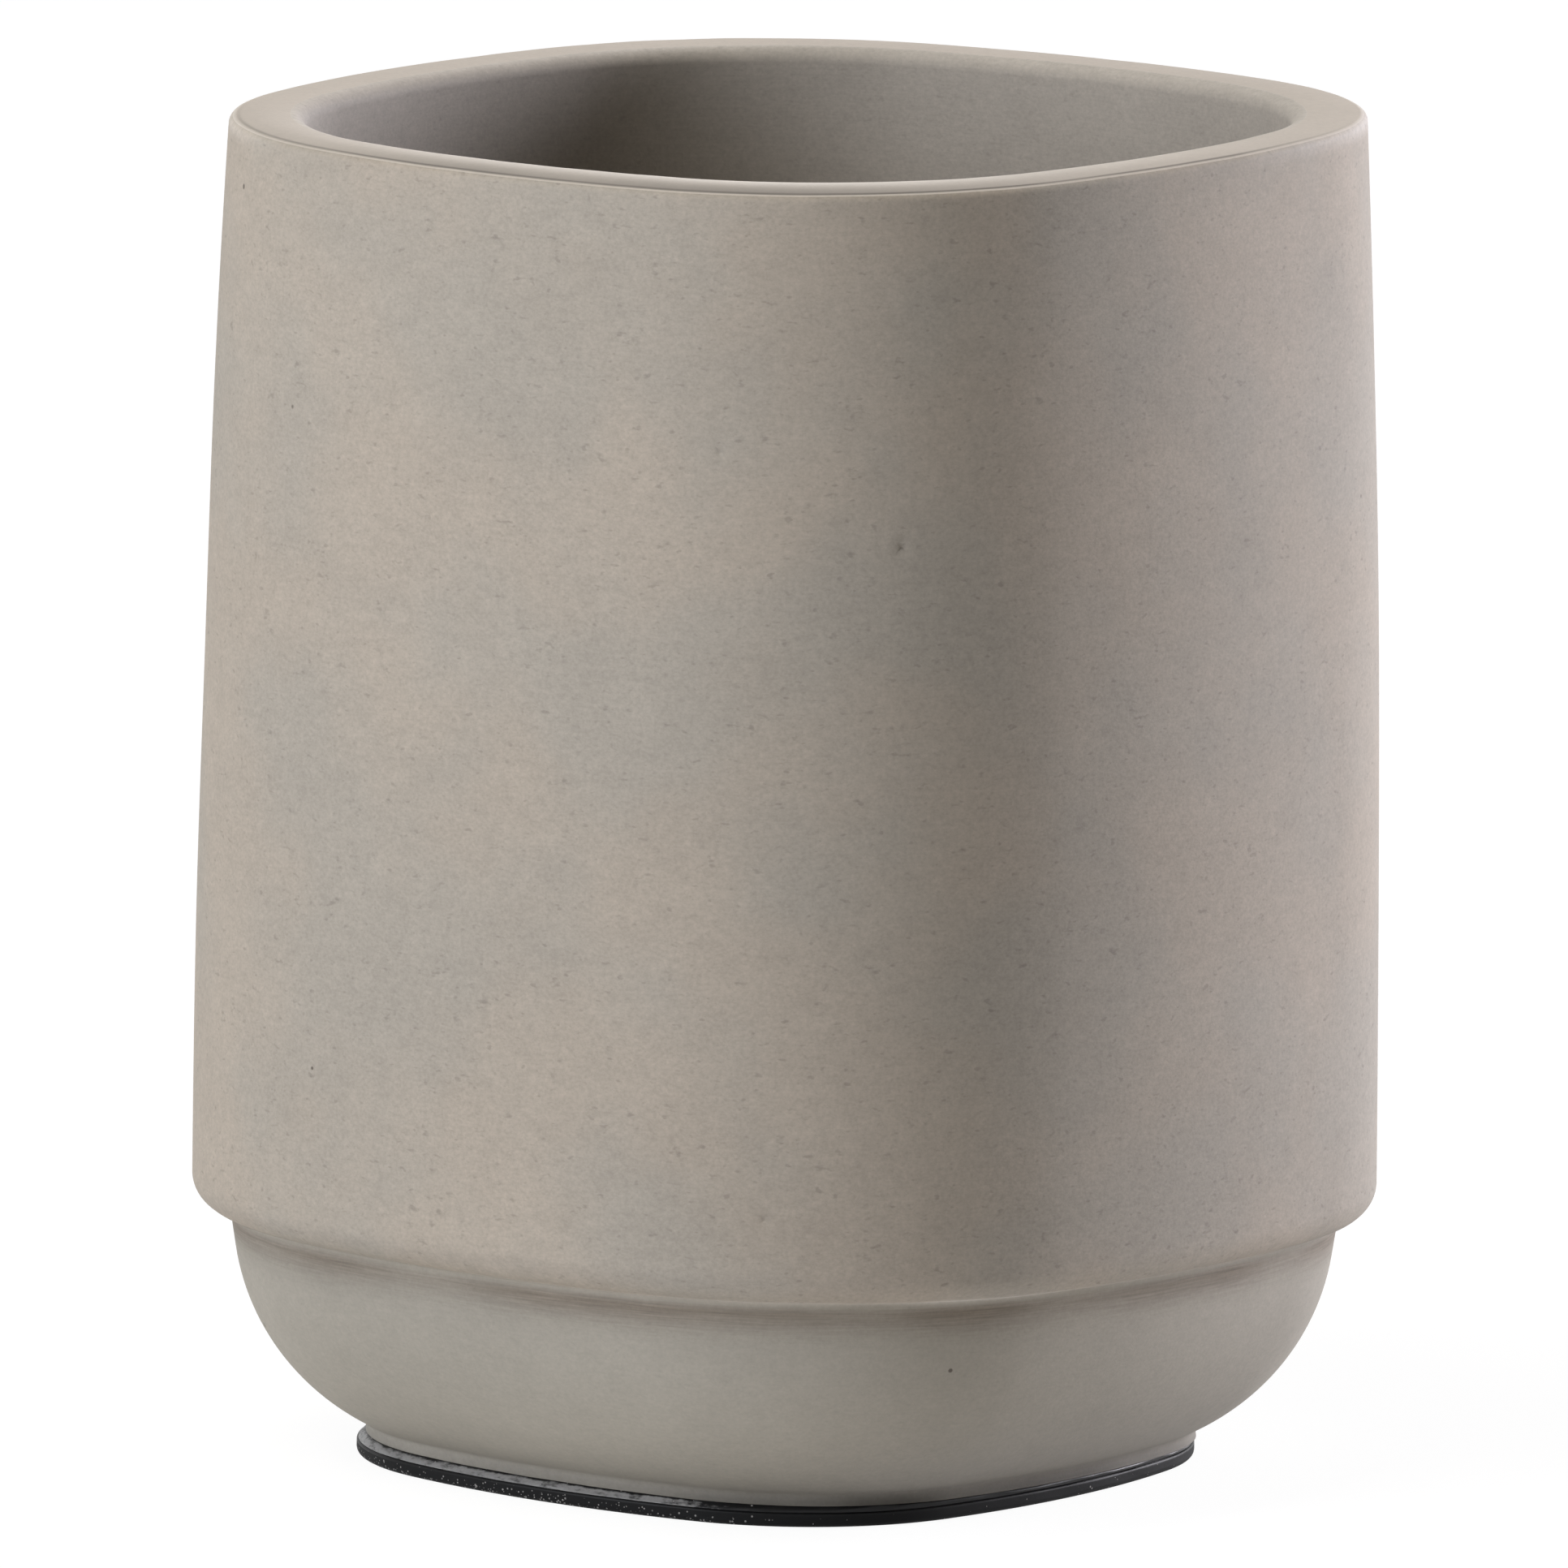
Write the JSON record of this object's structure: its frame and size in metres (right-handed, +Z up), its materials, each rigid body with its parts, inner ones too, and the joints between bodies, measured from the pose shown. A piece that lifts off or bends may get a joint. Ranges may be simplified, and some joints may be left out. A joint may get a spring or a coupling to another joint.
{
  "type": "bathroom tumbler",
  "caption": "Soft-square bathroom tumbler cast in concrete, with a thick flat rim, a step above a bowl-shaped base and a non-slip pad under its foot.",
  "frame": {"origin": "on the cup's axis, in the plane of the pad's underside", "axes": "+Z up along the cup's axis, +X and +Y towards the middles of two neighbouring sides"},
  "size_m": [0.0822, 0.0822, 0.101],
  "materials": {
    "concrete": "matte cast concrete",
    "film": "glossy adhesive film",
    "pad": "matte non-slip rubber"
  },
  "bodies": {
    "root": {"cup_body": "concrete", "adhesive_film": "film", "base_pad": "pad"}
  },
  "joints": []
}
